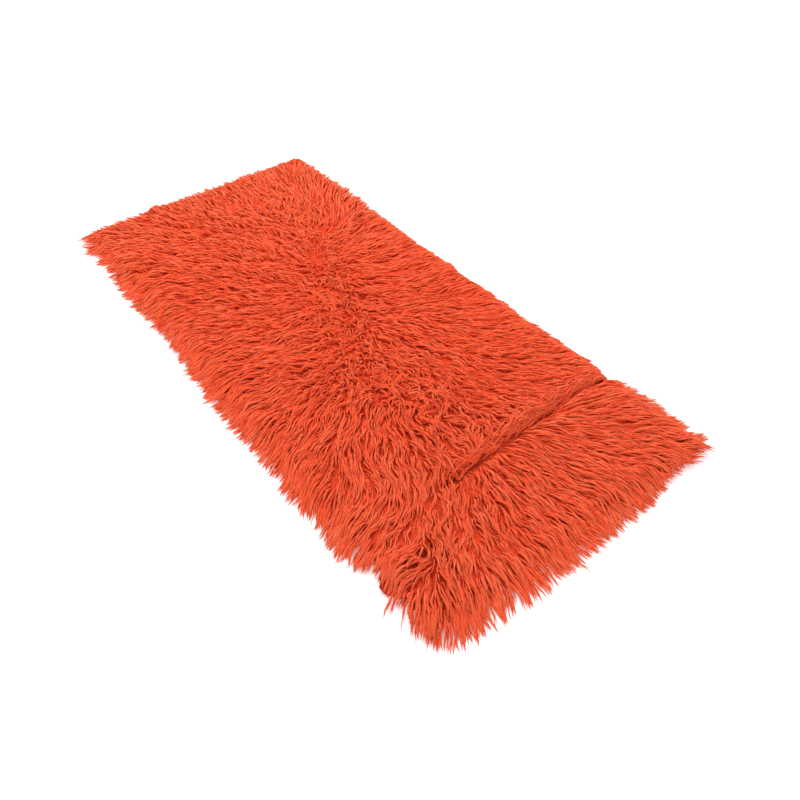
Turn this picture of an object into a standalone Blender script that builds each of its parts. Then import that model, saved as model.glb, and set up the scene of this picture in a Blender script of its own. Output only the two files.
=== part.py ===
"""A long-pile wool shag rug, lying on a floor with a cross fold and two buckled edges.

One solid: a woven ground cloth with the pile rooted in it, and the locks round its rim.
Metres, +Z up. X runs across the rug and Y along it: the cross fold is near the -Y end.
The origin is the middle of the cloth's underside, on the floor.
"""

import bisect
import math

import bmesh
import bpy
from mathutils import Vector, noise

# The ground cloth as it lies, without the pile that reaches past it.
CLOTH_WIDTH = 0.655
CLOTH_LENGTH = 1.550
CLOTH_THICKNESS = 0.003
CORNER_ROUNDING = 0.005
EDGE_WANDER = 0.005

# The pile: its depth as it lies combed over, thinner at the rim, where it passes the cloth.
PILE_DEPTH = 0.030
RIM_DEPTH = 0.018
RIM_ROLL = 0.055
PILE_OVERHANG = 0.006
LEAST_DEPTH = 0.007

# The pile's tufts, as unevenness of its upper face.
LUMP_HEIGHT = 0.018
LUMP_LENGTH = 0.075
LUMP_WIDTH = 0.036
LEAST_FAN_RADIUS = 0.12

# The locks round the rim: how far they reach past the pile's foot, and how they taper.
LOCK_REACH = 0.035
LOCK_REACH_SPREAD = 0.028
LOCK_SWAY = 0.35
LOCK_SLIMMING = 0.58
LOCK_TIP_HEIGHT = 0.0015
LOCK_BEND_SHARE = 0.62
LAY_SHARE_IN_LOCK = 0.62

# The bare lip where an edge of the cloth stands up: its locks are short.
BARE_LIP_REACH = 0.010
BARE_LIP_RISE = 0.008

# The grid of points that the cloth and the pile share, with closer rows at the folds.
COLUMN_PITCH = 0.021
ROW_PITCH = 0.023
FINE_ROW_PITCH = 0.0115
FINE_ROWS_FROM = -0.695
FINE_ROWS_TO = -0.460
FLAT_ANGLE = math.radians(0.02)

# The cross fold at places across the rug: where its step stands, and how high it rises.
CROSS_FOLD = (
    # x, foot_y, rise
    (-0.328, -0.556, 0.006),
    (-0.200, -0.560, 0.009),
    (-0.105, -0.550, 0.015),
    (0.050, -0.536, 0.021),
    (0.200, -0.527, 0.022),
    (0.328, -0.526, 0.017),
)
FOLD_STEP_RUN = 0.026
FOLD_BACK_RUN = 0.150
FOLD_GROOVE_DEPTH = 0.016
FOLD_GROOVE_REACH = 0.028
FOLD_ROLL_HEIGHT = 0.005
FOLD_ROLL_BEHIND = 0.034

# Where an edge of the cloth buckles up off the floor. The side edge runs along Y.
SIDE_BUCKLE = {"x": -0.328, "y": -0.650, "span": 0.046, "reach": 0.125, "rise": 0.024}
END_BUCKLE = {"x": -0.150, "y": 0.775, "span": 0.062, "reach": 0.130, "rise": 0.015}

# Small hollows where the pile parts.
HOLLOWS = (
    # x, y, radius, depth
    (-0.252, -0.652, 0.048, 0.015),
    (-0.122, -0.550, 0.036, 0.010),
    (-0.172, -0.088, 0.048, 0.010),
    (-0.108, -0.238, 0.044, 0.009),
    (0.082, 0.040, 0.044, 0.010),
    (0.080, 0.095, 0.040, 0.007),
    (0.076, 0.160, 0.044, 0.008),
    (-0.070, 0.620, 0.048, 0.008),
)

# The point that the pile is combed away from, at places along the rug.
LAY_FAN = (
    # y, fan_x, fan_y
    (-0.790, -0.050, -0.390),
    (-0.640, -0.030, -0.320),
    (-0.540, 0.000, -0.340),
    (-0.440, 0.000, -0.120),
    (-0.240, 0.040, -0.050),
    (-0.040, 0.050, 0.010),
    (0.110, 0.070, 0.070),
    (0.360, 0.070, 0.160),
    (0.610, 0.090, 0.270),
    (0.810, 0.030, 0.330),
)

WOOL_ORANGE = (0.730, 0.076, 0.030, 1.0)
WOOL_ROUGHNESS = 0.88


def smooth(t):
    """0 to 1 with level ends."""
    t = min(1.0, max(0.0, t))
    return t * t * (3.0 - 2.0 * t)


def hump(t):
    """1 at t = 0, falling to 0 at t = 1 and t = -1 with level ends."""
    return 1.0 - smooth(abs(t))


def from_table(rows, at, column):
    """A column of a table, read between its rows by their first column."""
    places = [row[0] for row in rows]
    after = min(len(rows) - 1, max(1, bisect.bisect(places, at)))
    low, high = rows[after - 1], rows[after]
    share = min(1.0, max(0.0, (at - low[0]) / (high[0] - low[0])))
    return low[column] + share * (high[column] - low[column])


def behind_fold(x, y):
    """The distance from the foot of the cross fold's step, towards +Y."""
    return y - from_table(CROSS_FOLD, x, 1)


def fold_lift(x, y):
    """How far the cross fold lifts the cloth: a steep step that faces -Y, with a long back."""
    behind = behind_fold(x, y)
    step = smooth(behind / FOLD_STEP_RUN)
    back = 1.0 - smooth((behind - FOLD_STEP_RUN) / FOLD_BACK_RUN)
    return from_table(CROSS_FOLD, x, 2) * step * back


def buckle_lift(x, y):
    """How far the two buckles lift the cloth near its edges."""
    side, end = SIDE_BUCKLE, END_BUCKLE
    at_side = hump((y - side["y"]) / side["span"]) * hump((x - side["x"]) / side["reach"])
    at_end = hump((x - end["x"]) / end["span"]) * hump((y - end["y"]) / end["reach"])
    return side["rise"] * at_side + end["rise"] * at_end


def cloth_lift(x, y):
    """The height of the cloth's underside over the floor."""
    return fold_lift(x, y) + buckle_lift(x, y)


def lay(x, y):
    """The direction in which the pile is combed, and how far off it fans out from."""
    away = Vector((x - from_table(LAY_FAN, y, 1), y - from_table(LAY_FAN, y, 2), 0.0))
    return away.normalized(), away.length


def lumps(x, y):
    """Tufts as a height: long ones that follow the lay, and short ones all over."""
    direction, distance = lay(x, y)
    around = math.atan2(direction.y, direction.x) * max(distance, LEAST_FAN_RADIUS)
    long_tufts = noise.noise(Vector((distance / LUMP_LENGTH, around / LUMP_WIDTH, 1.7)))
    short_tufts = noise.noise(Vector((x / LUMP_WIDTH, y / LUMP_WIDTH, 8.3)))
    return LUMP_HEIGHT * (long_tufts + short_tufts) / 2


def pile_depth(x, y):
    """The pile's depth: thinner at the rim, at the fold's foot and in the hollows."""
    to_edge = min(CLOTH_WIDTH / 2 - abs(x), CLOTH_LENGTH / 2 - abs(y))
    inside = smooth(to_edge / RIM_ROLL)
    depth = RIM_DEPTH + (PILE_DEPTH - RIM_DEPTH) * inside
    behind = behind_fold(x, y)
    depth -= FOLD_GROOVE_DEPTH * inside * hump(behind / FOLD_GROOVE_REACH)
    depth += FOLD_ROLL_HEIGHT * inside * hump((behind - FOLD_ROLL_BEHIND) / FOLD_ROLL_BEHIND)
    for hollow_x, hollow_y, radius, hollow in HOLLOWS:
        depth -= hollow * hump(math.hypot(x - hollow_x, y - hollow_y) / radius)
    return max(LEAST_DEPTH, depth + lumps(x, y))


def evenly(start, end, pitch):
    """Places from start to end, both included, about a pitch apart."""
    steps = max(1, round((end - start) / pitch))
    return [start + (end - start) * k / steps for k in range(steps + 1)]


def grid_lines():
    """The columns across the cloth and the rows along it."""
    columns = evenly(-CLOTH_WIDTH / 2, CLOTH_WIDTH / 2, COLUMN_PITCH)
    rows = evenly(-CLOTH_LENGTH / 2, FINE_ROWS_FROM, ROW_PITCH)[:-1]
    rows += evenly(FINE_ROWS_FROM, FINE_ROWS_TO, FINE_ROW_PITCH)[:-1]
    rows += evenly(FINE_ROWS_TO, CLOTH_LENGTH / 2, ROW_PITCH)
    return columns, rows


def on_outline(x, y):
    """A grid point moved to the cloth's real outline: soft corners, edges that wander a little."""
    across, along = x / (CLOTH_WIDTH / 2), y / (CLOTH_LENGTH / 2)
    wander_x = EDGE_WANDER * noise.noise(Vector((math.copysign(3.1, x), y / 0.16, 0.4)))
    wander_y = EDGE_WANDER * noise.noise(Vector((x / 0.16, math.copysign(5.3, y), 0.9)))
    rounding = CORNER_ROUNDING * abs(across) ** 12 * abs(along) ** 24
    new_x = x + across**4 * wander_x - math.copysign(rounding, x)
    new_y = y + along**8 * wander_y - math.copysign(rounding, y)
    return new_x, new_y


def outward(x, y, columns, rows):
    """The direction off the cloth at a point of its edge, and nothing at a point inside."""
    off_side = float((x == columns[-1]) - (x == columns[0]))
    off_end = float((y == rows[-1]) - (y == rows[0]))
    return Vector((off_side, off_end, 0.0)).normalized()


def sheet_faces(mesh, points, upwards):
    """Two triangles for each cell of a grid of vertices."""
    faces = []
    for near, far in zip(points, points[1:]):
        for a, b, c, d in zip(near, near[1:], far[1:], far):
            for corners in ((a, b, c), (a, c, d)):
                faces.append(mesh.faces.new(corners if upwards else corners[::-1]))
    return faces


def rim_of(points):
    """The vertices round a grid, in order, anticlockwise from above."""
    right = [row[-1] for row in points[1:-1]]
    left = [row[0] for row in points[1:-1]]
    return points[0] + right + points[-1][::-1] + left[::-1]


def merge_flat(mesh, faces, rim):
    """Joins the level triangles of a sheet into large faces, and keeps its rim as it is."""
    kept = set(rim)
    edges = {edge for face in faces for edge in face.edges}
    inner_edges = [edge for edge in edges if not kept.issuperset(edge.verts)]
    inner_points = {point for edge in edges for point in edge.verts} - kept
    bmesh.ops.dissolve_limit(
        mesh, angle_limit=FLAT_ANGLE, verts=list(inner_points), edges=inner_edges
    )


def lock_tip(centre, outwards, lift, number):
    """Where a lock of the rim ends: off the edge, turned by the lay, and down on the floor."""
    combed, _ = lay(centre.x, centre.y)
    heading = (outwards + LAY_SHARE_IN_LOCK * combed).normalized()
    sideways = Vector((-heading.y, heading.x, 0.0))
    sway = noise.noise(Vector((number * 0.37, 2.2, 0.0)))
    heading = (heading + LOCK_SWAY * sway * sideways).normalized()
    bareness = smooth((lift - BARE_LIP_RISE) / BARE_LIP_RISE)
    full = LOCK_REACH + LOCK_REACH_SPREAD * noise.noise(Vector((number * 0.61, 0.0, 4.4)))
    reach = full + bareness * (BARE_LIP_REACH - full)
    height = LOCK_TIP_HEIGHT + bareness * (0.7 * centre.z - LOCK_TIP_HEIGHT)
    return Vector((centre.x + heading.x * reach, centre.y + heading.y * reach, height))


def add_lock(mesh, root, outwards, lift, number):
    """Draws one cell of the rim out into a four-sided pointed lock."""
    centre = sum((point.co for point in root), Vector()) / len(root)
    tip = lock_tip(centre, outwards, lift, number)
    bend = centre.lerp(tip, 0.5)
    bend.z = max(bend.z, LOCK_BEND_SHARE * centre.z)
    ring = [mesh.verts.new(bend + LOCK_SLIMMING * (point.co - centre)) for point in root]
    end = mesh.verts.new(tip)
    for a, b, far_b, far_a in zip(root, root[1:] + root[:1], ring[1:] + ring[:1], ring):
        mesh.faces.new((a, b, far_b))
        mesh.faces.new((a, far_b, far_a))
        mesh.faces.new((far_a, far_b, end))


def build_rug_mesh():
    """The underside, the cloth's edge, the locks drawn out of the rim, and the lumpy top."""
    columns, rows = grid_lines()
    mesh = bmesh.new()
    under, top = [], []
    edge_of = {}
    lift_of = {}
    for y in rows:
        under_row, top_row = [], []
        for x in columns:
            place = Vector((*on_outline(x, y), cloth_lift(x, y)))
            off = outward(x, y, columns, rows)
            below = mesh.verts.new(place)
            over = place + PILE_OVERHANG * off
            over.z += CLOTH_THICKNESS + pile_depth(x, y)
            under_row.append(below)
            top_row.append(mesh.verts.new(over))
            if off.length > 0:
                edge_of[below] = mesh.verts.new(place + Vector((0.0, 0.0, CLOTH_THICKNESS)))
                lift_of[below] = place.z
        under.append(under_row)
        top.append(top_row)
    sheet_faces(mesh, top, upwards=True)
    underside = sheet_faces(mesh, under, upwards=False)
    low_rim, high_rim = rim_of(under), rim_of(top)
    low_pairs = zip(low_rim, low_rim[1:] + low_rim[:1])
    high_pairs = zip(high_rim, high_rim[1:] + high_rim[:1])
    for number, ((low_a, low_b), (high_a, high_b)) in enumerate(zip(low_pairs, high_pairs)):
        edge_a, edge_b = edge_of[low_a], edge_of[low_b]
        mesh.faces.new((low_a, low_b, edge_b, edge_a))
        along = low_b.co - low_a.co
        outwards = Vector((along.y, -along.x, 0.0)).normalized()
        add_lock(mesh, [edge_a, edge_b, high_b, high_a], outwards, lift_of[low_a], number)
    merge_flat(mesh, underside, low_rim)
    mesh.normal_update()
    return mesh


def dyed_wool():
    material = bpy.data.materials.new("dyed_wool")
    material.use_nodes = True
    shader = material.node_tree.nodes["Principled BSDF"]
    shader.inputs["Base Color"].default_value = WOOL_ORANGE
    shader.inputs["Roughness"].default_value = WOOL_ROUGHNESS
    shader.inputs["Metallic"].default_value = 0.0
    return material


def build_shag_rug():
    mesh = build_rug_mesh()
    data = bpy.data.meshes.new("shag_rug")
    mesh.to_mesh(data)
    mesh.free()
    data.materials.append(dyed_wool())
    data.shade_smooth()
    rug = bpy.data.objects.new("shag_rug", data)
    bpy.context.scene.collection.objects.link(rug)


for leftover in list(bpy.data.objects):
    bpy.data.objects.remove(leftover)
build_shag_rug()
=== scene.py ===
"""A long-pile wool shag rug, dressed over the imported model.

In the order in which the rug is made: the woven ground, the felted foot of the pile, the long
locks, the under locks, the short ones along the middle, those of the fold and of the rim, and the
loose wisps.
"""

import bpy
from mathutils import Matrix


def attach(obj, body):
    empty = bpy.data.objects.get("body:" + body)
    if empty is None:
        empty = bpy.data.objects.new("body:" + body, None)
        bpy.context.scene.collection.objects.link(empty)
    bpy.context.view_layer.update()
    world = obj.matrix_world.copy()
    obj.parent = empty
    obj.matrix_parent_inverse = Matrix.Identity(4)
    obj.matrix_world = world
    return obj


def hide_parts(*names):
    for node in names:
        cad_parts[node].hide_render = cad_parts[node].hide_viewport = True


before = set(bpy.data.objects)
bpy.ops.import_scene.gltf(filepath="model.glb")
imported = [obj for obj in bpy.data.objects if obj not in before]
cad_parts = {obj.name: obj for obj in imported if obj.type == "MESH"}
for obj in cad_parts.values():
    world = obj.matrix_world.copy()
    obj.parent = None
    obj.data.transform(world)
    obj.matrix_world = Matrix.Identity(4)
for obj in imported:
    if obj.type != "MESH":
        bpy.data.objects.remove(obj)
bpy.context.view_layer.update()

import math

import bpy
import numpy as np
from mathutils import Matrix, Vector, kdtree

# The camera stands at the rug's near left, about as high as a person's chest, and looks down
# along the rug at 44 degrees. It leans a little to one side, as the photo does.
CAMERA_PLACE = Vector((-0.7518, -1.3533, 1.2247))
CAMERA_FORWARD = Vector((0.3993, 0.6025, -0.6911))
CAMERA_LEAN = math.radians(-3.51)
CAMERA_LENS = 36.62
CAMERA_SENSOR = 36.0


def place_camera():
    forward = CAMERA_FORWARD.normalized()
    level_right = forward.cross(Vector((0.0, 0.0, 1.0))).normalized()
    level_up = level_right.cross(forward)
    right = level_right * math.cos(CAMERA_LEAN) + level_up * math.sin(CAMERA_LEAN)
    up = right.cross(forward)
    turn = Matrix((right, up, -forward)).transposed().to_4x4()
    data = bpy.data.cameras.new("camera")
    data.lens = CAMERA_LENS
    data.sensor_width = CAMERA_SENSOR
    data.clip_start = 0.05
    data.clip_end = 60.0
    camera = bpy.data.objects.new("camera", data)
    camera.matrix_world = Matrix.Translation(CAMERA_PLACE) @ turn
    bpy.context.scene.collection.objects.link(camera)
    bpy.context.scene.camera = camera


place_camera()


# A studio floor of plain pale board, broad soft light from above and behind, and a pale surround.
FLOOR_SIZE = 30.0
FLOOR_WHITE = (0.93, 0.93, 0.93, 1.0)
FLOOR_GLOW = 0.30
FLOOR_DROP = 0.0004
SURROUND_STRENGTH = 0.90
OVERHEAD_PLACE = (0.5, 0.9, 2.6)
OVERHEAD_SIZE = 1.6
OVERHEAD_WATTS = 42.0
OVERHEAD_WHITE = (1.0, 0.985, 0.96)


def lay_floor():
    bpy.ops.mesh.primitive_plane_add(size=FLOOR_SIZE, location=(0.0, 0.0, -FLOOR_DROP))
    floor = bpy.context.active_object
    floor.name = "studio_floor"
    board = bpy.data.materials.new("pale_board")
    board.use_nodes = True
    shader = board.node_tree.nodes["Principled BSDF"]
    shader.inputs["Base Color"].default_value = FLOOR_WHITE
    shader.inputs["Emission Color"].default_value = FLOOR_WHITE
    shader.inputs["Emission Strength"].default_value = FLOOR_GLOW
    shader.inputs["Roughness"].default_value = 0.9
    floor.data.materials.append(board)


def hang_light(name, place, aim, size, power, colour):
    data = bpy.data.lights.new(name, "AREA")
    data.shape = "DISK"
    data.size = size
    data.energy = power
    data.color = colour
    light = bpy.data.objects.new(name, data)
    light.location = place
    light.rotation_euler = (Vector(aim) - Vector(place)).to_track_quat("-Z", "Y").to_euler()
    bpy.context.scene.collection.objects.link(light)


def light_studio():
    world = bpy.data.worlds.new("pale_surround")
    world.use_nodes = True
    sky = world.node_tree.nodes["Background"]
    sky.inputs["Color"].default_value = (1.0, 1.0, 1.0, 1.0)
    sky.inputs["Strength"].default_value = SURROUND_STRENGTH
    bpy.context.scene.world = world
    hang_light("overhead", OVERHEAD_PLACE, (0.0, 0.0, 0.0), OVERHEAD_SIZE, OVERHEAD_WATTS, OVERHEAD_WHITE)


lay_floor()
light_studio()
bpy.context.scene.view_settings.view_transform = "Standard"


# The ground is one length of plain-woven wool, 3 mm thick after felting, with selvedges at its
# sides and felted ends. It lies in a cross fold near one end, and buckles up at two edges.
CLOTH_WIDTH = 0.655
CLOTH_LENGTH = 1.550
CLOTH_THICKNESS = 0.003
CLOTH_CELL = 0.0150
CLOTH_CLEARANCE = 0.0003
EDGE_WANDER = 0.003
EDGE_WANDER_CELL = 0.16
CROSS_FOLD = np.array((
    # x, foot_y, rise
    (-0.328, -0.556, 0.003),
    (-0.200, -0.560, 0.005),
    (-0.105, -0.550, 0.009),
    (0.050, -0.536, 0.011),
    (0.200, -0.527, 0.011),
    (0.328, -0.526, 0.003),
))
FOLD_STEP_RUN = 0.018
FOLD_BACK_RUN = 0.120
SIDE_BUCKLE = {"x": -0.328, "y": -0.655, "span": 0.046, "reach": 0.125, "rise": 0.024}
END_BUCKLE = {"x": -0.150, "y": 0.775, "span": 0.062, "reach": 0.130, "rise": 0.015}
BARE_LIP = {"y": -0.661, "span": 0.052, "start": -0.270, "reach": 0.030, "drop": 0.90}
GROUND_RED = (0.42, 0.020, 0.007, 1.0)
GROUND_LIGHT_RED = (0.62, 0.042, 0.014, 1.0)
YARN_PITCH = 0.0022


def smooth(t):
    t = np.clip(t, 0.0, 1.0)
    return t * t * (3.0 - 2.0 * t)


def hump(t):
    return 1.0 - smooth(np.abs(t))


def behind_fold(x, y):
    return y - np.interp(x, CROSS_FOLD[:, 0], CROSS_FOLD[:, 1])


def cloth_lift(x, y):
    """The height of the cloth's underside over the floor, in its fold and buckles."""
    behind = behind_fold(x, y)
    rise = np.interp(x, CROSS_FOLD[:, 0], CROSS_FOLD[:, 2])
    back = 1.0 - smooth((behind - FOLD_STEP_RUN) / FOLD_BACK_RUN)
    lift = rise * smooth(behind / FOLD_STEP_RUN) * back
    side, end = SIDE_BUCKLE, END_BUCKLE
    at_side = hump((y - side["y"]) / side["span"]) * hump((x - side["x"]) / side["reach"])
    at_end = hump((x - end["x"]) / end["span"]) * hump((y - end["y"]) / end["reach"])
    return lift + side["rise"] * at_side + end["rise"] * at_end


def uneven(x, y, cell, seed):
    """Smooth unevenness between -1 and 1, with lumps about one cell apart."""
    lattice = np.random.default_rng(seed).uniform(-1.0, 1.0, (256, 256))
    across, along = np.asarray(x) / cell + 128.0, np.asarray(y) / cell + 128.0
    i, j = np.floor(across).astype(int) % 255, np.floor(along).astype(int) % 255
    u, v = smooth(across % 1.0), smooth(along % 1.0)
    low = lattice[j, i] * (1.0 - u) + lattice[j, i + 1] * u
    high = lattice[j + 1, i] * (1.0 - u) + lattice[j + 1, i + 1] * u
    return low * (1.0 - v) + high * v


def read_points(mesh):
    points = np.empty(len(mesh.vertices) * 3)
    mesh.vertices.foreach_get("co", points)
    return points.reshape(-1, 3)


def write_points(mesh, points):
    mesh.vertices.foreach_set("co", np.asarray(points, np.float32).ravel())
    mesh.update()


def flat_sheet(name, width, length, cell):
    """A level grid at the origin, as the start of a sheet."""
    bpy.ops.object.select_all(action="DESELECT")
    across, along = round(width / cell), round(length / cell)
    bpy.ops.mesh.primitive_grid_add(x_subdivisions=across, y_subdivisions=along, size=1.0)
    sheet = bpy.context.active_object
    sheet.name = name
    sheet.scale = (width, length, 1.0)
    bpy.ops.object.transform_apply(location=False, rotation=False, scale=True)
    return sheet


def finish_piece(piece, material):
    piece.data.materials.clear()
    piece.data.materials.append(material)
    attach(piece, "root")
    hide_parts("shag_rug")


def plain_weave():
    """Dyed wool cloth: over-and-under yarns as bump, fuzzed by felting, darker in the joints."""
    material = bpy.data.materials.new("plain_woven_ground")
    material.use_nodes = True
    nodes, links = material.node_tree.nodes, material.node_tree.links
    shader = nodes["Principled BSDF"]
    place = nodes.new("ShaderNodeTexCoord")
    warp = nodes.new("ShaderNodeTexWave")
    weft = nodes.new("ShaderNodeTexWave")
    for yarns, direction in ((warp, "X"), (weft, "Y")):
        yarns.bands_direction = direction
        yarns.inputs["Scale"].default_value = 2.0 * math.pi / (20.0 * YARN_PITCH)
        yarns.inputs["Distortion"].default_value = 1.2
        yarns.inputs["Detail Scale"].default_value = 4.0
        links.new(place.outputs["Object"], yarns.inputs["Vector"])
    over_under = nodes.new("ShaderNodeMath")
    over_under.operation = "MULTIPLY"
    links.new(warp.outputs["Fac"], over_under.inputs[0])
    links.new(weft.outputs["Fac"], over_under.inputs[1])
    fuzz = nodes.new("ShaderNodeTexNoise")
    fuzz.inputs["Scale"].default_value = 420.0
    fuzz.inputs["Detail"].default_value = 4.0
    links.new(place.outputs["Object"], fuzz.inputs["Vector"])
    height = nodes.new("ShaderNodeMath")
    height.operation = "ADD"
    links.new(over_under.outputs[0], height.inputs[0])
    links.new(fuzz.outputs["Fac"], height.inputs[1])
    bump = nodes.new("ShaderNodeBump")
    bump.inputs["Strength"].default_value = 0.6
    bump.inputs["Distance"].default_value = 0.0007
    links.new(height.outputs[0], bump.inputs["Height"])
    links.new(bump.outputs["Normal"], shader.inputs["Normal"])
    tone = nodes.new("ShaderNodeValToRGB")
    tone.color_ramp.elements[0].position = 0.25
    tone.color_ramp.elements[0].color = GROUND_RED
    tone.color_ramp.elements[1].position = 1.0
    tone.color_ramp.elements[1].color = GROUND_LIGHT_RED
    links.new(height.outputs[0], tone.inputs["Fac"])
    links.new(tone.outputs["Color"], shader.inputs["Base Color"])
    shader.inputs["Roughness"].default_value = 0.92
    shader.inputs["Specular IOR Level"].default_value = 0.15
    return material


def on_outline(points):
    """Moves a sheet's points to the cloth's real outline, whose edges wander a little."""
    x, y = points[:, 0].copy(), points[:, 1].copy()
    across = np.clip(np.abs(x) / (CLOTH_WIDTH / 2), 0.0, 1.0)
    along = np.clip(np.abs(y) / (CLOTH_LENGTH / 2), 0.0, 1.0)
    points[:, 0] += across**4 * EDGE_WANDER * uneven(np.sign(x), y, EDGE_WANDER_CELL, 3)
    points[:, 1] += along**8 * EDGE_WANDER * uneven(x, np.sign(y), EDGE_WANDER_CELL, 4)
    lip = BARE_LIP
    share = hump((y - lip["y"]) / lip["span"])
    out = smooth((lip["start"] - x) / (CLOTH_WIDTH / 2 + lip["start"]))
    points[:, 0] -= lip["reach"] * share * out
    points[:, 2] *= 1.0 - lip["drop"] * share * out**3


def weave_ground():
    cloth = flat_sheet("ground_cloth", CLOTH_WIDTH, CLOTH_LENGTH, CLOTH_CELL)
    points = read_points(cloth.data)
    points[:, 2] = cloth_lift(points[:, 0], points[:, 1]) + CLOTH_CLEARANCE
    on_outline(points)
    write_points(cloth.data, points)
    thicken = cloth.modifiers.new("felted_thickness", "SOLIDIFY")
    thicken.thickness = CLOTH_THICKNESS - 2 * CLOTH_CLEARANCE
    thicken.offset = 1.0
    bpy.ops.object.modifier_apply(modifier=thicken.name)
    cloth.data.shade_smooth()
    finish_piece(cloth, plain_weave())
    return cloth


ground_cloth = weave_ground()


# The pile's foot is the matted wool at the roots of the locks, felted by washing into one soft,
# dense layer over the ground. It shows as deep red between the locks.
# Its pits, the fold's crease and the partings are painted darker, as painted shade.
FOOT_DEPTH = 0.019
FOOT_EDGE_DEPTH = 0.009
FOOT_OVERHANG = 0.004
FOOT_CELL = 0.0165
FOOT_LUMPS = 0.0035
FOOT_LUMP_CELL = 0.013
FOOT_EDGE_RUN = 0.03
PITS = np.array((
    # x, y, radius, depth
    (-0.238, -0.655, 0.016, 0.020),
    (-0.266, -0.655, 0.019, 0.022),
    (-0.290, -0.668, 0.014, 0.016),
    (-0.113, -0.549, 0.015, 0.018),
))
PARTINGS = np.array((
    # x, y, radius, depth
    (-0.180, -0.088, 0.020, 0.012),
    (-0.184, -0.115, 0.018, 0.012),
    (-0.186, -0.152, 0.020, 0.012),
    (-0.128, -0.246, 0.018, 0.010),
    (0.068, 0.030, 0.020, 0.012),
    (-0.270, -0.262, 0.020, 0.009),
    (0.082, 0.040, 0.022, 0.010),
    (0.076, 0.160, 0.020, 0.008),
    (0.072, 0.560, 0.022, 0.008),
    (-0.070, 0.620, 0.022, 0.009),
))
FOOT_DEEP_RED = (0.60, 0.042, 0.013, 1.0)
FOOT_RED = (0.88, 0.092, 0.030, 1.0)
# How far the foot's colour is painted towards the dark red below in its pits, the fold's crease and the
# partings: painted shade.
PIT_PAINTED_SHADE = 0.72
CREASE_PAINTED_SHADE = 0.55
PARTING_PAINTED_SHADE = 0.35
PAINTED_SHADE_RED = (0.10, 0.006, 0.003, 1.0)
CREASE_FROM = -0.20
CREASE_RUN = 0.08


def creased(x):
    """How open the fold's crease is: shut at the rug's left side, open in the rest."""
    return smooth((x - CREASE_FROM) / CREASE_RUN)


def felt():
    material = bpy.data.materials.new("felted_wool")
    material.use_nodes = True
    nodes, links = material.node_tree.nodes, material.node_tree.links
    shader = nodes["Principled BSDF"]
    place = nodes.new("ShaderNodeTexCoord")
    curls = nodes.new("ShaderNodeTexNoise")
    curls.inputs["Scale"].default_value = 170.0
    curls.inputs["Detail"].default_value = 6.0
    curls.inputs["Distortion"].default_value = 1.5
    links.new(place.outputs["Object"], curls.inputs["Vector"])
    tone = nodes.new("ShaderNodeValToRGB")
    tone.color_ramp.elements[0].position = 0.35
    tone.color_ramp.elements[0].color = FOOT_DEEP_RED
    tone.color_ramp.elements[1].position = 0.68
    tone.color_ramp.elements[1].color = FOOT_RED
    links.new(curls.outputs["Fac"], tone.inputs["Fac"])
    # The hollow attribute mixes in a dark red: painted shade in the pits, the fold's crease and the partings.
    hollow = nodes.new("ShaderNodeAttribute")
    hollow.attribute_name = "hollow"
    painted_shade_mix = nodes.new("ShaderNodeMixRGB")
    painted_shade_mix.inputs["Color2"].default_value = PAINTED_SHADE_RED
    links.new(hollow.outputs["Fac"], painted_shade_mix.inputs["Fac"])
    links.new(tone.outputs["Color"], painted_shade_mix.inputs["Color1"])
    links.new(painted_shade_mix.outputs["Color"], shader.inputs["Base Color"])
    bump = nodes.new("ShaderNodeBump")
    bump.inputs["Strength"].default_value = 0.9
    bump.inputs["Distance"].default_value = 0.003
    links.new(curls.outputs["Fac"], bump.inputs["Height"])
    links.new(bump.outputs["Normal"], shader.inputs["Normal"])
    shader.inputs["Roughness"].default_value = 0.95
    shader.inputs["Specular IOR Level"].default_value = 0.1
    return material


def felt_foot():
    width, length = CLOTH_WIDTH + 2 * FOOT_OVERHANG, CLOTH_LENGTH + 2 * FOOT_OVERHANG
    foot = flat_sheet("pile_felted_foot", width, length, FOOT_CELL)
    bpy.ops.object.mode_set(mode="EDIT")
    bpy.ops.mesh.select_all(action="SELECT")
    bpy.ops.mesh.extrude_region_move(TRANSFORM_OT_translate={"value": (0.0, 0.0, 1.0)})
    bpy.ops.mesh.select_all(action="SELECT")
    bpy.ops.mesh.normals_make_consistent(inside=False)
    bpy.ops.object.mode_set(mode="OBJECT")
    points = read_points(foot.data)
    x, y, is_top = points[:, 0], points[:, 1], points[:, 2] > 0.5
    to_edge = np.minimum(width / 2 - np.abs(x), length / 2 - np.abs(y))
    depth = FOOT_EDGE_DEPTH + (FOOT_DEPTH - FOOT_EDGE_DEPTH) * smooth(to_edge / FOOT_EDGE_RUN)
    depth = depth + FOOT_LUMPS * uneven(x, y, FOOT_LUMP_CELL, 7)
    # The foot is painted darker in its pits, its crease and its partings, as painted shade, kept in the
    # hollow attribute.
    painted_shade = np.zeros(len(x))
    for pit_x, pit_y, radius, hollow in PITS:
        in_pit = hump(np.hypot(x - pit_x, y - pit_y) / (1.4 * radius))
        depth = depth - 0.75 * hollow * in_pit
        painted_shade = np.maximum(painted_shade, PIT_PAINTED_SHADE * in_pit)
    in_crease = hump((behind_fold(x, y) + 0.003) / 0.018) * creased(x)
    depth = depth - 0.006 * in_crease
    painted_shade = np.maximum(painted_shade, CREASE_PAINTED_SHADE * in_crease)
    for part_x, part_y, radius, hollow in PARTINGS:
        in_parting = hump(np.hypot(x - part_x, y - part_y) / (1.3 * radius))
        depth = depth - 0.5 * hollow * in_parting
        painted_shade = np.maximum(painted_shade, PARTING_PAINTED_SHADE * in_parting)
    seat = cloth_lift(x, y) + CLOTH_THICKNESS + CLOTH_CLEARANCE
    points[:, 2] = seat + np.where(is_top, depth, 0.0)
    write_points(foot.data, points)
    shade = foot.data.attributes.new("hollow", "FLOAT", "POINT")
    shade.data.foreach_set("value", painted_shade.astype(np.float32))
    foot.data.shade_smooth()
    finish_piece(foot, felt())
    return foot


felted_foot = felt_foot()


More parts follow.
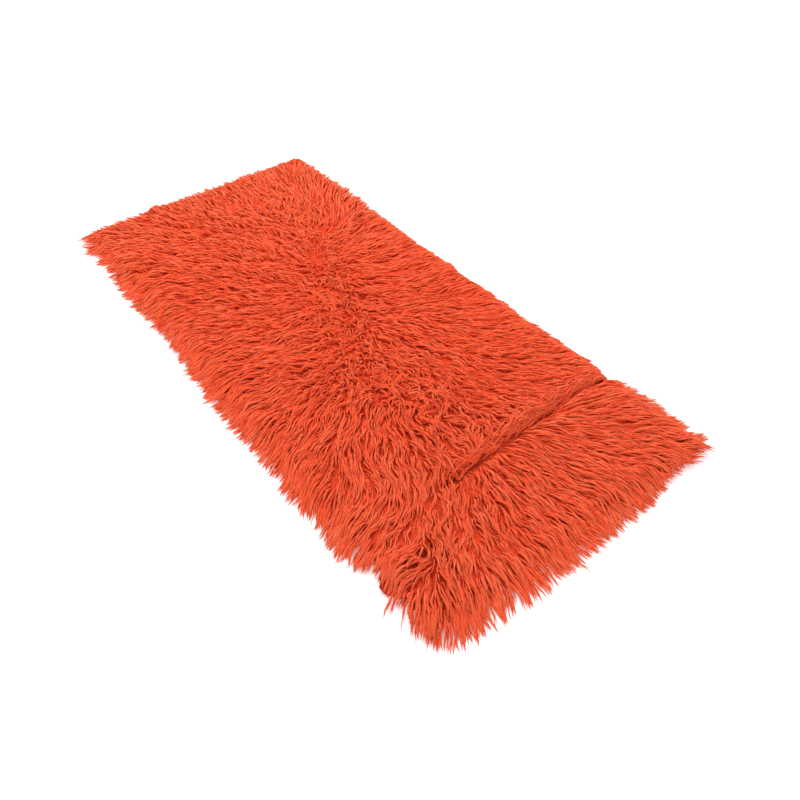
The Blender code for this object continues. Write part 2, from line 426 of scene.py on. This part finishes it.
# The long locks are loops of soft-spun wool knotted through the ground and cut or pulled out to 60
# to 85 mm. Washing felts each into a wavy lock with a fine tip, and they lie combed away from the
# rug's middle, over its edges.
LAY = np.array((
    # y, parting_x, left_fan_x, left_fan_y, right_fan_x, right_fan_y
    (-0.750, -0.05, -0.07, -0.42, -0.05, -0.42),
    (-0.650, -0.05, -0.05, -0.35, -0.02, -0.30),
    (-0.550, -0.05, -0.03, -0.40, 0.00, -0.45),
    (-0.450, -0.05, -0.06, -0.10, -0.03, -0.15),
    (-0.350, -0.05, 0.00, -0.08, 0.02, -0.03),
    (-0.250, -0.08, 0.00, -0.11, 0.02, -0.07),
    (-0.150, -0.10, -0.05, -0.12, 0.02, 0.05),
    (-0.050, -0.05, 0.00, -0.10, 0.00, 0.03),
    (0.050, 0.03, 0.05, 0.01, 0.05, 0.14),
    (0.150, 0.02, 0.10, 0.04, 0.05, 0.25),
    (0.250, 0.06, 0.10, 0.07, 0.08, 0.27),
    (0.350, 0.08, 0.12, 0.14, 0.11, 0.30),
    (0.450, 0.08, 0.12, 0.22, 0.12, 0.15),
    (0.550, 0.08, 0.11, 0.28, 0.12, 0.20),
    (0.650, 0.10, 0.09, 0.34, 0.16, 0.25),
    (0.800, 0.10, 0.05, 0.36, 0.10, 0.33),
))
PARTING_BLEND = 0.10
SPINE = np.array((
    # y, x, looseness
    (-0.440, 0.00, 0.0),
    (-0.350, -0.01, 0.6),
    (-0.250, -0.07, 1.0),
    (-0.150, -0.09, 1.0),
    (-0.050, -0.03, 0.9),
    (0.050, 0.00, 0.9),
    (0.150, 0.04, 0.9),
    (0.250, 0.12, 0.9),
    (0.350, 0.14, 0.9),
    (0.500, 0.14, 0.4),
    (0.650, 0.18, 0.4),
    (0.720, 0.18, 0.0),
))
SPINE_WIDTH = 0.105
CURLY_BAND = {"x": -0.020, "width": 0.300}
EDGE_FALL = {"reach": 0.080, "left": -0.20, "right": 0.50, "end": 0.15}
RIM_LEFT = np.array(((-0.84, -0.345), (-0.80, -0.354), (-0.762, -0.368), (-0.735, -0.350), (-0.718, -0.332),
                     (-0.704, -0.382), (-0.690, -0.344), (-0.665, -0.345), (-0.640, -0.342), (-0.626, -0.334),
                     (-0.604, -0.374), (-0.540, -0.380), (-0.43, -0.386), (-0.15, -0.376), (-0.06, -0.376),
                     (-0.03, -0.396), (-0.00, -0.378), (0.16, -0.372), (0.24, -0.358), (0.36, -0.377),
                     (0.50, -0.374), (0.65, -0.366), (0.80, -0.392)))
RIM_RIGHT = np.array(((-0.80, 0.366), (-0.73, 0.380), (-0.64, 0.386), (-0.54, 0.370), (-0.520, 0.334),
                      (-0.50, 0.350), (-0.35, 0.346), (-0.24, 0.338), (-0.15, 0.350), (-0.05, 0.328),
                      (0.05, 0.350), (0.16, 0.328), (0.30, 0.346), (0.55, 0.368), (0.68, 0.362),
                      (0.80, 0.345)))
RIM_NEAR = np.array(((-0.38, -0.800), (-0.33, -0.832), (-0.27, -0.856), (-0.215, -0.844), (-0.17, -0.862),
                     (-0.13, -0.840), (0.00, -0.828), (0.15, -0.812), (0.25, -0.792), (0.38, -0.784)))
RIM_FAR = np.array(((-0.38, 0.808), (-0.25, 0.858), (-0.14, 0.882), (-0.07, 0.838), (-0.02, 0.840),
                    (0.08, 0.858), (0.18, 0.856), (0.27, 0.832), (0.38, 0.774)))
RIM_CORNER = 0.018
LOCK_PITCH = 0.0093
FAR_THINNING = 0.32
LOCK_LENGTH = 0.078
LOCK_LENGTH_SPREAD = 0.012
LOCK_RADIUS = 0.0022
LOCK_RADIUS_SPREAD = 0.0005
LOCK_SIDES = 3
LOCK_STATIONS = np.concatenate((np.linspace(0.0, 0.90, 9), (1.0,)))
TUFT_PITCH = 0.017
TUFT_CLING = 0.18
PILE_DEPTH = 0.028
TIP_DROP_REACH = 0.050
RIM_SHOULDER = 0.020
ROLL_LAY = (0.94, -0.34)
ROLL_REACH = 0.028
ROLL_SWELL = 0.002
FOLD_SEAM = 0.007
TUCK = {"x": -0.300, "y": -0.650, "radius": 0.066, "lay": (-0.95, 0.32)}
WAVES = (
    # cell, turn, turn with curl, turn with looseness, seed
    (0.110, 0.10, 0.00, 0.0, 21),
    (0.036, 0.22, 0.16, 0.6, 22),
    (0.013, 0.29, 0.36, 0.5, 23),
)
STRAY = 0.09
STRAY_WHERE_LOOSE = 6.0
SHORTER = 0.30
SELVEDGE = 0.003
ROOT_STRAY = 0.42
FAR_START = -0.2
FAR_RUN = 0.9
OFF_FLOOR = 0.0002
TWIST_ALONG = 2.4
# Locks are deeper red at the root and paler at the tip: partly the dye, and partly painted shade at the
# roots.
TIP_LIGHTER = 0.45
LOCK_DEEP = (0.88, 0.068, 0.019, 1.0)
LOCK_ORANGE = (0.95, 0.124, 0.040, 1.0)
LOCK_PALE = (0.99, 0.200, 0.085, 1.0)


def loose(x, y):
    """How loosely the pile lies: 1 along the middle line that it is combed away from."""
    middle = np.interp(y, SPINE[:, 0], SPINE[:, 1])
    return np.interp(y, SPINE[:, 0], SPINE[:, 2]) * hump((x - middle) / SPINE_WIDTH)


def away_from(x, y, fan_x, fan_y):
    off_x, off_y = x - fan_x, y - fan_y
    distance = np.maximum(np.hypot(off_x, off_y), 1e-6)
    return off_x / distance, off_y / distance


def lay(x, y, from_behind):
    """The bearing in which the pile is combed. Locks rooted behind the fold lie along its roll."""
    parting, left_x, left_y, right_x, right_y = (np.interp(y, LAY[:, 0], LAY[:, k]) for k in range(1, 6))
    to_right = smooth((x - parting) / PARTING_BLEND + 0.5)
    on_left, on_right = away_from(x, y, left_x, left_y), away_from(x, y, right_x, right_y)
    combed_x = on_left[0] + (on_right[0] - on_left[0]) * to_right
    combed_y = on_left[1] + (on_right[1] - on_left[1]) * to_right
    behind = behind_fold(x, y)
    rolled = from_behind * smooth((x + 0.16) / 0.12)
    on_roll = rolled * smooth((ROLL_REACH - behind) / 0.020)
    held_back = 1.3 * rolled * smooth((FOLD_SEAM - behind) / 0.009)
    lay_x = combed_x * (1.0 - on_roll) + ROLL_LAY[0] * on_roll
    lay_y = combed_y * (1.0 - on_roll) + ROLL_LAY[1] * on_roll + held_back
    to_side = CLOTH_WIDTH / 2 - np.abs(x)
    to_end = CLOTH_LENGTH / 2 - np.abs(y)
    side_pull = np.where(x < 0.0, EDGE_FALL["left"], EDGE_FALL["right"])
    lay_x = lay_x + side_pull * smooth(1.0 - to_side / EDGE_FALL["reach"])
    lay_y = lay_y + EDGE_FALL["end"] * np.sign(y) * smooth(1.0 - to_end / EDGE_FALL["reach"])
    tucked = 1.6 * hump(np.hypot(x - TUCK["x"], y - TUCK["y"]) / TUCK["radius"])
    lay_x = lay_x + tucked * TUCK["lay"][0]
    lay_y = lay_y + tucked * TUCK["lay"][1]
    return np.arctan2(lay_y, lay_x)


def curly(x, y):
    """How curly the pile is: 1 along the middle of the rug, 0 towards its long sides."""
    near_end = smooth((-0.50 - y) / 0.06)
    middle = CURLY_BAND["x"] - 0.16 * near_end
    to_end = smooth((CLOTH_LENGTH / 2 - np.abs(y)) / 0.10)
    return hump((x - middle) / CURLY_BAND["width"]) * (1.0 - 0.15 * near_end) * to_end


def edge_distance(x, y):
    """The distance in from the nearest edge of the cloth, below zero outside it."""
    return np.minimum(CLOTH_WIDTH / 2 - np.abs(x), CLOTH_LENGTH / 2 - np.abs(y))


def rim_room(x, y):
    """The distance in from the line where the tips of the pile end, below zero outside it."""
    across = np.minimum(
        x - np.interp(y, RIM_LEFT[:, 0], RIM_LEFT[:, 1]), np.interp(y, RIM_RIGHT[:, 0], RIM_RIGHT[:, 1]) - x
    )
    along = np.minimum(
        y - np.interp(x, RIM_NEAR[:, 0], RIM_NEAR[:, 1]), np.interp(x, RIM_FAR[:, 0], RIM_FAR[:, 1]) - y
    )
    return RIM_CORNER - np.hypot(np.maximum(RIM_CORNER - across, 0.0), np.maximum(RIM_CORNER - along, 0.0))


def pile_depth(x, y):
    """How high the pile's top lies over the cloth, or over the floor outside it."""
    inside = smooth((edge_distance(x, y) + TIP_DROP_REACH) / (TIP_DROP_REACH + RIM_SHOULDER))
    tufts = 0.0030 * uneven(x, y, 0.030, 11) + 0.0035 * uneven(x, y, 0.090, 12)
    depth = 0.003 + (PILE_DEPTH + tufts) * inside
    behind = behind_fold(x, y)
    rolled = smooth((x + 0.20) / 0.12)
    depth = depth - 0.008 * inside * creased(x) * hump((behind + 0.001) / 0.008)
    depth = depth + ROLL_SWELL * rolled * inside * hump((behind - 0.026) / 0.024)
    for part_x, part_y, radius, hollow in (*PITS, *PARTINGS):
        depth = depth - hollow * hump(np.hypot(x - part_x, y - part_y) / radius)
    return np.maximum(depth, 0.002)


def pile_floor(x, y):
    """The height that the pile stands on: the cloth, running out to the floor past its edge."""
    on_cloth = smooth((edge_distance(x, y) + 0.012) / 0.012)
    return (cloth_lift(x, y) + CLOTH_THICKNESS) * on_cloth


def far_off(y):
    """0 in the near part of the rug, rising to 1 at its far end, where the locks are fewer."""
    return smooth((y - FAR_START) / FAR_RUN)


def root_places(pitch, seed):
    """Staggered rows of roots over the cloth, each a little off its place."""
    draw = np.random.default_rng(seed)
    half_width, half_length = CLOTH_WIDTH / 2 - SELVEDGE, CLOTH_LENGTH / 2 - SELVEDGE
    rows = np.arange(-half_length, half_length, pitch * 0.866)
    columns = np.arange(-half_width, half_width, pitch)
    x, y = np.meshgrid(columns, rows)
    x = x + (np.arange(len(rows)) % 2)[:, None] * pitch / 2
    x, y = x.ravel(), y.ravel()
    x = x + draw.uniform(-ROOT_STRAY, ROOT_STRAY, x.size) * pitch
    y = y + draw.uniform(-ROOT_STRAY, ROOT_STRAY, y.size) * pitch
    dense = draw.uniform(0.0, 1.0, x.size) > FAR_THINNING * far_off(y)
    kept = dense & (edge_distance(x, y) > 0.001)
    return x[kept], y[kept]


def comb(x, y, reach, stations, stray):
    """The plan of each lock from its root, led along the lay and its waves: one row a lock."""
    path_x, path_y = [x], [y]
    from_behind = (behind_fold(x, y) > FOLD_SEAM).astype(float)
    for step in np.diff(stations):
        here_x, here_y = path_x[-1], path_y[-1]
        slack, curl = loose(here_x, here_y), curly(here_x, here_y)
        bearing = lay(here_x, here_y, from_behind) + stray * (1.0 + STRAY_WHERE_LOOSE * slack)
        for cell, steady, curled, slackened, seed in WAVES:
            turn = steady + curled * curl + slackened * slack
            bearing = bearing + turn * uneven(here_x, here_y, cell, seed)
        path_x.append(here_x + step * reach * np.cos(bearing))
        path_y.append(here_y + step * reach * np.sin(bearing))
    return np.stack(path_x, 1), np.stack(path_y, 1)


def comb_to_rim(x, y, reach, stations, stray, past_rim):
    """As comb, with the locks that would pass the rim drawn short of it."""
    path_x, path_y = comb(x, y, reach, stations, stray)
    for _ in range(3):
        tip_x, tip_y = path_x[:, -1], path_y[:, -1]
        excess = np.maximum(-past_rim - rim_room(tip_x, tip_y), 0.0)
        reach = np.maximum(reach - 1.1 * excess, 0.012)
        path_x, path_y = comb(x, y, reach, stations, stray)
    for part_x, part_y, radius, _ in PITS:
        off_x, off_y = path_x - part_x, path_y - part_y
        off = np.maximum(np.hypot(off_x, off_y), 1e-5)
        push = 0.45 * radius * hump(off / (1.6 * radius)) / off
        path_x, path_y = path_x + push * off_x, path_y + push * off_y
    return path_x, path_y


def gather(path_x, path_y, stations, pitch, cling, seed):
    """Draws the tips of neighbouring locks together into tufts."""
    draw = np.random.default_rng(seed)
    reach_x, reach_y = CLOTH_WIDTH / 2 + 0.06, CLOTH_LENGTH / 2 + 0.06
    centre_x, centre_y = np.meshgrid(
        np.arange(-reach_x, reach_x, pitch), np.arange(-reach_y, reach_y, pitch)
    )
    centre_x = centre_x.ravel() + draw.uniform(-0.45, 0.45, centre_x.size) * pitch
    centre_y = centre_y.ravel() + draw.uniform(-0.45, 0.45, centre_y.size) * pitch
    tree = kdtree.KDTree(centre_x.size)
    for number, (cx, cy) in enumerate(zip(centre_x, centre_y)):
        tree.insert((cx, cy, 0.0), number)
    tree.balance()
    tips = zip(path_x[:, -1], path_y[:, -1])
    tuft = np.array([tree.find((tx, ty, 0.0))[1] for tx, ty in tips])
    members = np.maximum(np.bincount(tuft), 1)
    mean_x = (np.bincount(tuft, path_x[:, -1]) / members)[tuft]
    mean_y = (np.bincount(tuft, path_y[:, -1]) / members)[tuft]
    pull = cling * smooth((stations - 0.3) / 0.7)[None, :]
    off_x = (mean_x - path_x[:, -1])[:, None] * pull
    off_y = (mean_y - path_y[:, -1])[:, None] * pull
    return path_x + off_x, path_y + off_y


def spun_tubes(points, radius, sides, twist, shade, stations):
    """Closed tapering tubes along rows of points, as one mesh. Each ends in a single point."""
    count, rings = points.shape[0], points.shape[1] - 1
    tangent = np.gradient(points, axis=1)
    tangent /= np.linalg.norm(tangent, axis=2, keepdims=True)
    heading = points[:, -1] - points[:, 0]
    side = np.stack((-heading[:, 1], heading[:, 0], np.zeros(count)), 1)
    side /= np.maximum(np.linalg.norm(side, axis=1, keepdims=True), 1e-9)
    side = np.repeat(side[:, None, :], rings + 1, 1)
    side -= tangent * np.sum(side * tangent, 2, keepdims=True)
    side /= np.linalg.norm(side, axis=2, keepdims=True)
    over = np.cross(tangent, side)
    angle = twist[:, None, None] + stations[None, :-1, None] * TWIST_ALONG
    angle = angle + np.arange(sides)[None, None, :] * 2.0 * math.pi / sides
    spoke = (
        np.cos(angle)[..., None] * side[:, :-1, None, :]
        + np.sin(angle)[..., None] * over[:, :-1, None, :]
    )
    ring_points = points[:, :-1, None, :] + radius[:, :-1, None, None] * spoke
    each = rings * sides + 1
    vertices = np.concatenate((ring_points.reshape(count, rings * sides, 3), points[:, -1:, :]), 1)

    around = np.arange(sides)
    after = (around + 1) % sides
    ring_start = (np.arange(rings - 1) * sides)[:, None]
    quads = np.stack(
        (
            ring_start + around,
            ring_start + after,
            ring_start + sides + after,
            ring_start + sides + around,
        ),
        2,
    ).reshape(-1, 4)
    last = (rings - 1) * sides
    points_in = np.stack((last + around, last + after, np.full(sides, each - 1)), 1)
    root = around[::-1][None, :]
    corners = np.concatenate((quads.ravel(), points_in.ravel(), root.ravel()))
    sizes = np.concatenate((np.full(len(quads), 4), np.full(sides, 3), [sides]))
    loops = (corners[None, :] + (np.arange(count) * each)[:, None]).ravel()
    totals = np.tile(sizes, count)
    starts = np.concatenate(([0], np.cumsum(totals)[:-1]))

    mesh = bpy.data.meshes.new("spun_tubes")
    mesh.vertices.add(count * each)
    mesh.vertices.foreach_set("co", vertices.astype(np.float32).ravel())
    mesh.loops.add(loops.size)
    mesh.loops.foreach_set("vertex_index", loops.astype(np.int32))
    mesh.polygons.add(totals.size)
    mesh.polygons.foreach_set("loop_start", starts.astype(np.int32))
    mesh.polygons.foreach_set("use_smooth", np.ones(totals.size, bool))
    along = np.concatenate((np.repeat(stations[:-1], sides), stations[-1:]))
    tone = mesh.attributes.new("tone", "FLOAT", "POINT")
    tone.data.foreach_set("value", np.repeat(shade, each).astype(np.float32))
    grown = mesh.attributes.new("grown", "FLOAT", "POINT")
    grown.data.foreach_set("value", np.tile(along, count).astype(np.float32))
    mesh.update(calc_edges=True)
    mesh.validate()
    return mesh


def spun_wool():
    """Dyed wool locks: deeper at the root, partly the dye and partly painted shade, paler and warmer at the
    tip, each its own tone.
    """
    material = bpy.data.materials.new("spun_wool_locks")
    material.use_nodes = True
    nodes, links = material.node_tree.nodes, material.node_tree.links
    shader = nodes["Principled BSDF"]
    tone = nodes.new("ShaderNodeAttribute")
    tone.attribute_name = "tone"
    grown = nodes.new("ShaderNodeAttribute")
    grown.attribute_name = "grown"
    level = nodes.new("ShaderNodeMath")
    level.operation = "MULTIPLY_ADD"
    level.inputs[1].default_value = TIP_LIGHTER
    links.new(grown.outputs["Fac"], level.inputs[0])
    links.new(tone.outputs["Fac"], level.inputs[2])
    ramp = nodes.new("ShaderNodeValToRGB")
    ramp.color_ramp.elements[0].position = 0.0
    ramp.color_ramp.elements[0].color = LOCK_DEEP
    ramp.color_ramp.elements[1].position = 1.0
    ramp.color_ramp.elements[1].color = LOCK_PALE
    middle = ramp.color_ramp.elements.new(0.55)
    middle.color = LOCK_ORANGE
    links.new(level.outputs[0], ramp.inputs["Fac"])
    links.new(ramp.outputs["Color"], shader.inputs["Base Color"])
    shader.inputs["Roughness"].default_value = 0.8
    shader.inputs["Diffuse Roughness"].default_value = 0.75
    shader.inputs["Specular IOR Level"].default_value = 0.18
    return material


def climb_of(stations):
    """How far up the pile a lock has climbed at each station: fast from its root, then level."""
    return 1.0 - (1.0 - stations) ** 4.0


def taper_of(stations):
    """A lock's thickness at each station, as a share of its full thickness."""
    return np.clip(1.10 - stations**4.0 * 1.02, 0.05, 1.0)


def grow_locks(x, y, length, radius, stations, shares, seed, beyond=0.0):
    """Points, radii, tones and twists of locks rooted at the given places."""
    draw = np.random.default_rng(seed)
    count = x.size
    size = length[0] + length[1] * draw.uniform(-1.0, 1.0, count)
    size = size * (1.0 - SHORTER * curly(x, y)) * (1.0 - SHORTER * loose(x, y))
    stray = draw.normal(0.0, STRAY, count)
    past_rim = beyond + 0.010 * uneven(x, y, 0.018, 24) + draw.uniform(-0.008, 0.012, count)
    path_x, path_y = comb_to_rim(x, y, 0.95 * size, stations, stray, past_rim)
    path_x, path_y = gather(path_x, path_y, stations, TUFT_PITCH, TUFT_CLING, 31)
    share = draw.uniform(shares[0], shares[1], count)
    climb = climb_of(stations)
    tuck = smooth((stations - 0.55) / 0.45)[None, :] * draw.uniform(-0.02, 0.22, count)[:, None]
    height = pile_depth(path_x, path_y) * share[:, None] * (climb[None, :] - tuck)
    sway = 0.0016 * uneven(path_x, path_y, 0.012, 25)
    z = pile_floor(path_x, path_y) + height + sway * climb[None, :]
    thick = radius[0] + radius[1] * draw.uniform(-1.0, 1.0, count)
    thick = thick * (1.0 - 0.08 * smooth((-0.30 - y) / 0.20) + 0.07 * smooth((y - 0.10) / 0.60))
    body = taper_of(stations)
    radii = thick[:, None] * body[None, :]
    z = np.maximum(z, radii + OFF_FLOOR)
    points = np.stack((path_x, path_y, z), 2)
    # The tone is painted lighter towards the far right and towards the near end, as painted light; the
    # unevenness and the random draw are each lock's own tone.
    shade = 0.33 + 0.14 * smooth((y + 0.8 * x - 0.10) / 0.60) + 0.09 * smooth((-0.35 - y) / 0.20)
    shade = shade + 0.08 * uneven(x, y, 0.045, 27) + 0.11 * draw.normal(0.0, 1.0, count)
    twist = draw.uniform(0.0, 2.0 * math.pi, count)
    return points, radii, shade, twist


def spread_pieces(name, parts, grown, sides, stations, material):
    """Makes the locks as a few pieces, from the near end to the far one."""
    points, radii, shade, twist = grown
    order = np.argsort(points[:, 0, 1])
    pieces = []
    for number, chosen in enumerate(np.array_split(order, parts), start=1):
        mesh = spun_tubes(
            points[chosen], radii[chosen], sides, twist[chosen], shade[chosen], stations
        )
        piece = bpy.data.objects.new(f"{name}_{number:02d}", mesh)
        mesh.name = piece.name
        bpy.context.scene.collection.objects.link(piece)
        finish_piece(piece, material)
        pieces.append(piece)
    return pieces


lock_wool = spun_wool()
locks = spread_pieces(
    "pile_locks",
    4,
    grow_locks(
        *root_places(LOCK_PITCH, 102),
        (LOCK_LENGTH, LOCK_LENGTH_SPREAD),
        (LOCK_RADIUS, LOCK_RADIUS_SPREAD),
        LOCK_STATIONS,
        (0.84, 1.03),
        101,
    ),
    LOCK_SIDES,
    LOCK_STATIONS,
    lock_wool,
)


# The under locks are the shorter, more matted ones that lie beneath the long locks and fill the
# gaps between them.
UNDER_PITCH = 0.0176
UNDER_LENGTH = 0.058
UNDER_RADIUS = 0.0030
UNDER_STATIONS = np.array((0.0, 0.22, 0.44, 0.66, 0.86, 1.0))

under_locks = spread_pieces(
    "pile_under_locks",
    1,
    grow_locks(
        *root_places(UNDER_PITCH, 302),
        (UNDER_LENGTH, LOCK_LENGTH_SPREAD),
        (UNDER_RADIUS, LOCK_RADIUS_SPREAD),
        UNDER_STATIONS,
        (0.76, 0.93),
        301,
    ),
    LOCK_SIDES,
    UNDER_STATIONS,
    lock_wool,
)


# The middle locks are short and fine. Where the pile parts along the rug's middle they stand in
# among the long ones, swirl every way and hide the foot.
MIDDLE_PITCH = 0.0119
MIDDLE_LENGTH = 0.046
MIDDLE_RADIUS = 0.0019
MIDDLE_LOOSENESS = 0.30
BESIDE_TUCK = {"x": -0.225, "y": -0.700, "radius": 0.065}


def middle_places():
    x, y = root_places(MIDDLE_PITCH, 602)
    by_tuck = np.hypot(x - BESIDE_TUCK["x"], y - BESIDE_TUCK["y"]) < BESIDE_TUCK["radius"]
    kept = (loose(x, y) > MIDDLE_LOOSENESS) | by_tuck
    return x[kept], y[kept]


middle_locks = spread_pieces(
    "pile_middle_locks",
    1,
    grow_locks(
        *middle_places(),
        (MIDDLE_LENGTH, LOCK_LENGTH_SPREAD),
        (MIDDLE_RADIUS, LOCK_RADIUS_SPREAD),
        UNDER_STATIONS,
        (0.90, 1.04),
        601,
    ),
    LOCK_SIDES,
    UNDER_STATIONS,
    lock_wool,
)


# The roll is the pile along the cross fold. Its locks start from the crease, lean up against the
# panel behind it and lie along it, as a soft rope.
ROLL_LOCKS = 120
ROLL_FROM = -0.145
ROLL_END = 0.338
ROLL_LENGTH = 0.062
ROLL_START = (-0.002, 0.016)
ROLL_CLIMB = (-0.003, 0.018)
ROLL_RADIUS = 0.0021
ROLL_SHARES = (0.80, 1.06)
ROLL_WAVE = 0.0032
ROLL_WAVE_CELL = 0.020


def roll_of_fold(count, stations, seed):
    """Points, radii, tones and twists of locks that lie along the cross fold."""
    draw = np.random.default_rng(seed)
    start = ROLL_FROM + (ROLL_END - ROLL_FROM) * draw.beta(1.6, 1.9, count) * 0.95
    size = np.clip(ROLL_LENGTH * draw.uniform(0.75, 1.2, count), 0.014, ROLL_END - start)
    x = start[:, None] + size[:, None] * stations[None, :]
    behind = draw.uniform(*ROLL_START, count)[:, None]
    behind = behind + draw.uniform(*ROLL_CLIMB, count)[:, None] * smooth(stations)[None, :]
    behind = behind + ROLL_WAVE * uneven(x, behind, ROLL_WAVE_CELL, 26)
    y = np.interp(x, CROSS_FOLD[:, 0], CROSS_FOLD[:, 1]) + behind
    climb = climb_of(stations)
    share = draw.uniform(*ROLL_SHARES, count)[:, None]
    z = pile_floor(x, y) + pile_depth(x, y) * share * climb[None, :]
    body = taper_of(stations)
    radii = (ROLL_RADIUS * draw.uniform(0.8, 1.15, count))[:, None] * body[None, :]
    z = np.maximum(z, radii + OFF_FLOOR)
    shade = 0.42 + 0.10 * draw.normal(0.0, 1.0, count)
    return np.stack((x, y, z), 2), radii, shade, draw.uniform(0.0, 2.0 * math.pi, count)


roll_locks = spread_pieces(
    "pile_roll_locks",
    1,
    roll_of_fold(ROLL_LOCKS, LOCK_STATIONS, 501),
    LOCK_SIDES,
    LOCK_STATIONS,
    lock_wool,
)


# The rim locks are the outermost rows. They hang over the cloth's edge to the floor and hide it.
RIM_ROW_PITCH = 0.0047
RIM_FAR_THINNING = 0.50
RIM_ROWS = (0.002, 0.007, 0.012, 0.018)
RIM_LENGTH = 0.070
RIM_LENGTH_SPREAD = 0.014
RIM_RADIUS = 0.0018
RIM_RADIUS_SPREAD = 0.0006
RIM_ROOT_STRAY = 0.002
RIM_STATIONS = np.array((0.0, 0.18, 0.34, 0.50, 0.65, 0.79, 0.91, 1.0))


def rim_places(pitch, rows, seed):
    """Roots in rows along all four edges of the cloth."""
    draw = np.random.default_rng(seed)
    x, y = [], []
    for row in rows:
        half_width, half_length = CLOTH_WIDTH / 2 - row, CLOTH_LENGTH / 2 - row
        across = np.arange(-half_width, half_width, pitch)
        along = np.arange(-half_length, half_length, pitch)
        for side in (-1.0, 1.0):
            x += [across, np.full(along.size, side * half_width)]
            y += [np.full(across.size, side * half_length), along]
    x, y = np.concatenate(x), np.concatenate(y)
    x = x + draw.uniform(-RIM_ROOT_STRAY, RIM_ROOT_STRAY, x.size)
    y = y + draw.uniform(-RIM_ROOT_STRAY, RIM_ROOT_STRAY, y.size)
    kept = draw.uniform(0.0, 1.0, x.size) > RIM_FAR_THINNING * far_off(y)
    return x[kept], y[kept]


rim_locks = spread_pieces(
    "pile_rim_locks",
    1,
    grow_locks(
        *rim_places(RIM_ROW_PITCH, RIM_ROWS, 402),
        (RIM_LENGTH, RIM_LENGTH_SPREAD),
        (RIM_RADIUS, RIM_RADIUS_SPREAD),
        RIM_STATIONS,
        (0.28, 0.95),
        401,
    ),
    LOCK_SIDES,
    RIM_STATIONS,
    lock_wool,
)


# Wisps are the thin strands that washing works loose from the locks. They stand out past the tips
# at the rim and cross between the tufts.
WISP_PITCH = 0.0203
WISP_LENGTH = 0.080
WISP_RADIUS = 0.0012
WISP_RADIUS_SPREAD = 0.0004
WISP_REACH = 0.012
WISP_STATIONS = np.array((0.0, 0.17, 0.34, 0.51, 0.67, 0.84, 1.0))

wisps = spread_pieces(
    "pile_wisps",
    1,
    grow_locks(
        *root_places(WISP_PITCH, 202),
        (WISP_LENGTH, LOCK_LENGTH_SPREAD),
        (WISP_RADIUS, WISP_RADIUS_SPREAD),
        WISP_STATIONS,
        (0.92, 1.08),
        201,
        WISP_REACH,
    ),
    LOCK_SIDES,
    WISP_STATIONS,
    lock_wool,
)
